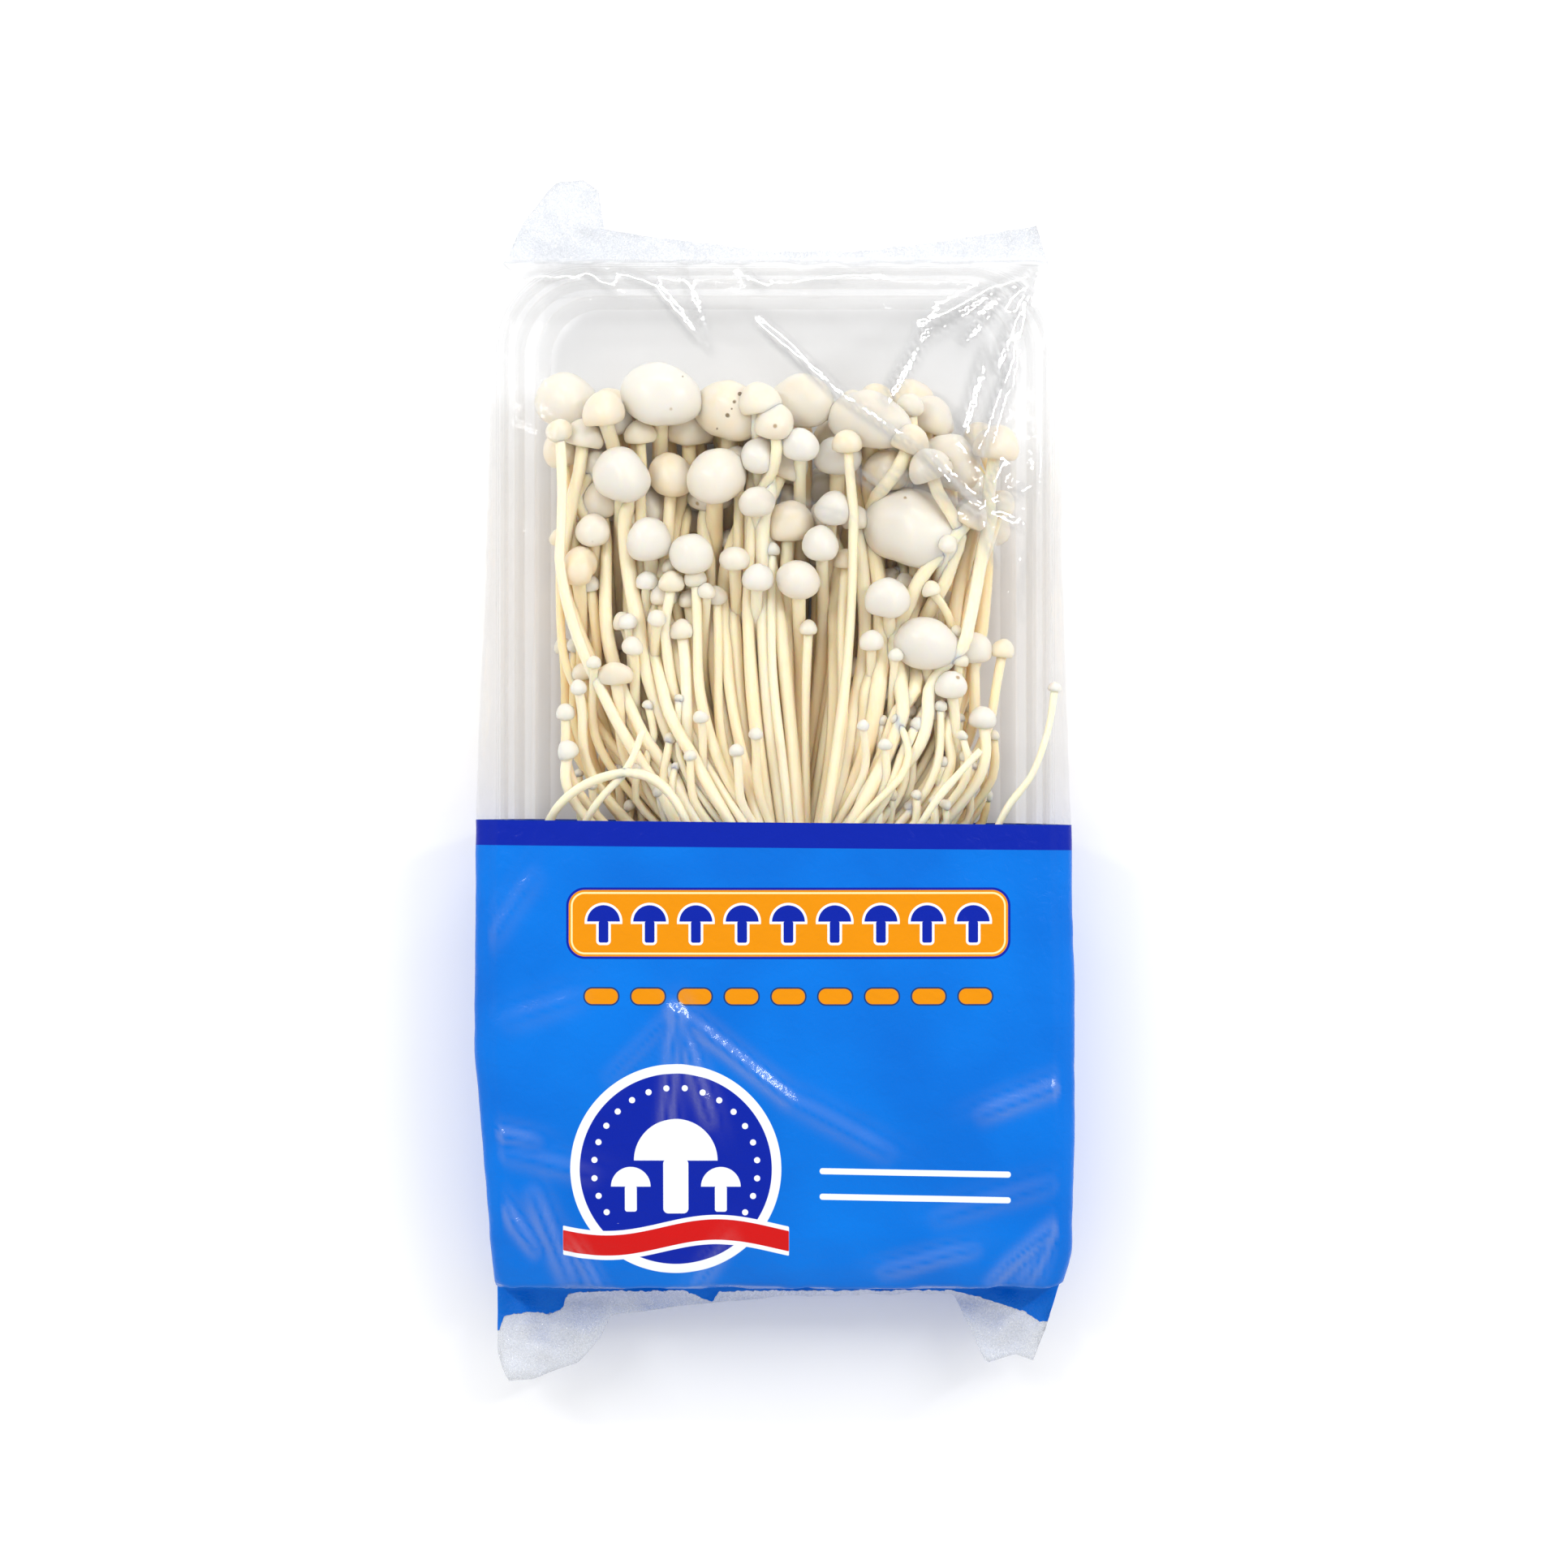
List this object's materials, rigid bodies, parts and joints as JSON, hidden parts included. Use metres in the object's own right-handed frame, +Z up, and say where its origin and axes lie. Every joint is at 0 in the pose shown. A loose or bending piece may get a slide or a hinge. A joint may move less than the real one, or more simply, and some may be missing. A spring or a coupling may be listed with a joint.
{
  "type": "enoki mushroom bunch in a tray pack",
  "caption": "Bunch of long-stemmed white enoki mushrooms lying in a clear stepped tray, sealed in a film wrap that is clear over the caps and blue over the stems.",
  "frame": {"origin": "middle of the pack's footprint, on the surface that it lies on", "axes": "+Z up through the film's crown, +Y along the pack from the root base to the caps, +X across it to the right with the caps at the top"},
  "size_m": [0.11, 0.222, 0.031],
  "materials": {
    "clear_pet": "clear thermoformed PET sheet, glossy",
    "printed_film": "thin glossy plastic film, clear at the head end and printed blue at the foot end",
    "enoki": null,
    "enoki_butt": null
  },
  "bodies": {
    "root": {"film_wrap": "printed_film", "tray": "clear_pet", "root_base": "enoki_butt", "mushroom_01": "enoki", "mushroom_02": "enoki", "mushroom_03": "enoki", "mushroom_04": "enoki", "mushroom_05": "enoki", "mushroom_06": "enoki", "mushroom_07": "enoki", "mushroom_08": "enoki", "mushroom_09": "enoki", "mushroom_10": "enoki", "mushroom_11": "enoki", "mushroom_12": "enoki", "mushroom_13": "enoki", "mushroom_14": "enoki", "mushroom_15": "enoki", "mushroom_16": "enoki", "mushroom_17": "enoki", "mushroom_18": "enoki", "mushroom_19": "enoki", "mushroom_20": "enoki", "mushroom_21": "enoki", "mushroom_22": "enoki", "mushroom_23": "enoki", "mushroom_24": "enoki", "mushroom_25": "enoki", "mushroom_26": "enoki", "mushroom_27": "enoki", "mushroom_28": "enoki", "mushroom_29": "enoki", "mushroom_30": "enoki", "mushroom_31": "enoki", "mushroom_32": "enoki", "mushroom_33": "enoki", "mushroom_34": "enoki", "mushroom_35": "enoki", "mushroom_36": "enoki", "mushroom_37": "enoki", "mushroom_38": "enoki", "mushroom_39": "enoki", "mushroom_40": "enoki", "mushroom_41": "enoki", "mushroom_42": "enoki", "mushroom_43": "enoki", "mushroom_44": "enoki", "mushroom_45": "enoki", "mushroom_46": "enoki", "mushroom_47": "enoki", "mushroom_48": "enoki", "mushroom_49": "enoki", "mushroom_50": "enoki", "mushroom_51": "enoki", "stray_mushroom": "enoki"}
  },
  "joints": []
}
